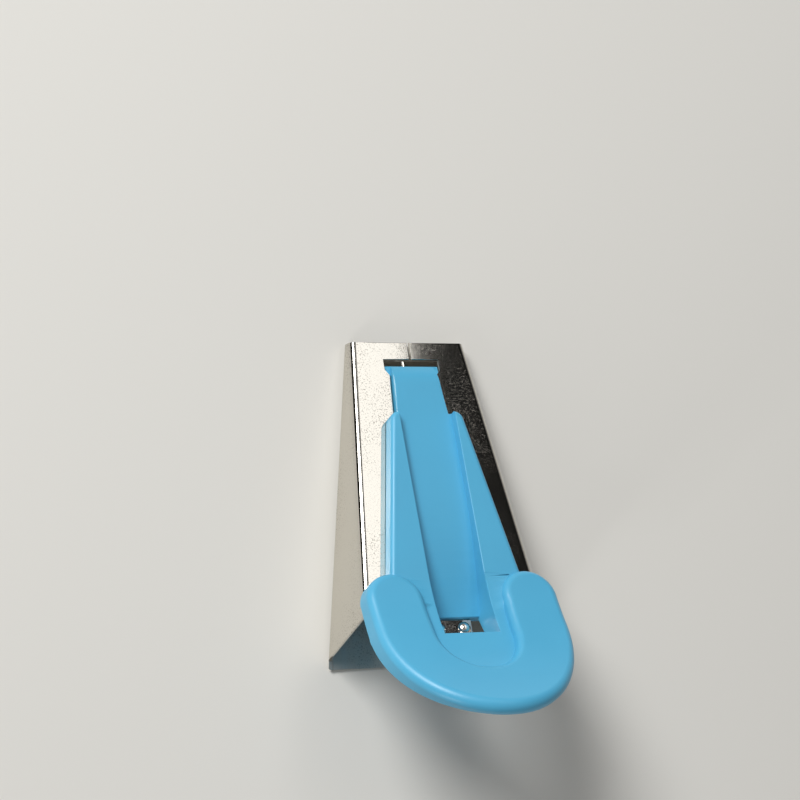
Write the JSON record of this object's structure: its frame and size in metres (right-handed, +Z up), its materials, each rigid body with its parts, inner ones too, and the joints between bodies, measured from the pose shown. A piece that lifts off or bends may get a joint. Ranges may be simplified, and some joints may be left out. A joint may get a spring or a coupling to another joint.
{
  "type": "bias tape maker",
  "caption": "Hand-held folder that turns a cloth strip into bias tape and feeds fusible web onto it: tapered steel shell, inner former, moulded guide with horseshoe grip.",
  "frame": {"origin": "centre of the bounding box's lower face, on the plane that the shell's base rests on", "axes": "+Y towards the narrow tip where the tape comes out, +Z up from the base, +X to the right seen from above with the tip away from the viewer"},
  "size_m": [0.0454, 0.0842, 0.0423],
  "materials": {
    "nickel_plate": "bright nickel plate on folded sheet steel",
    "former_steel": "nickel-plated sheet steel, duller than the shell",
    "blue_plastic": "moulded ABS, light blue, satin gloss",
    "rivet_metal": "bright nickel plate"
  },
  "bodies": {
    "root": {"outer_shell": "nickel_plate", "inner_former": "former_steel", "guide_handle": "blue_plastic", "former_rivets": "rivet_metal", "rivet_washers": "rivet_metal"}
  },
  "joints": []
}
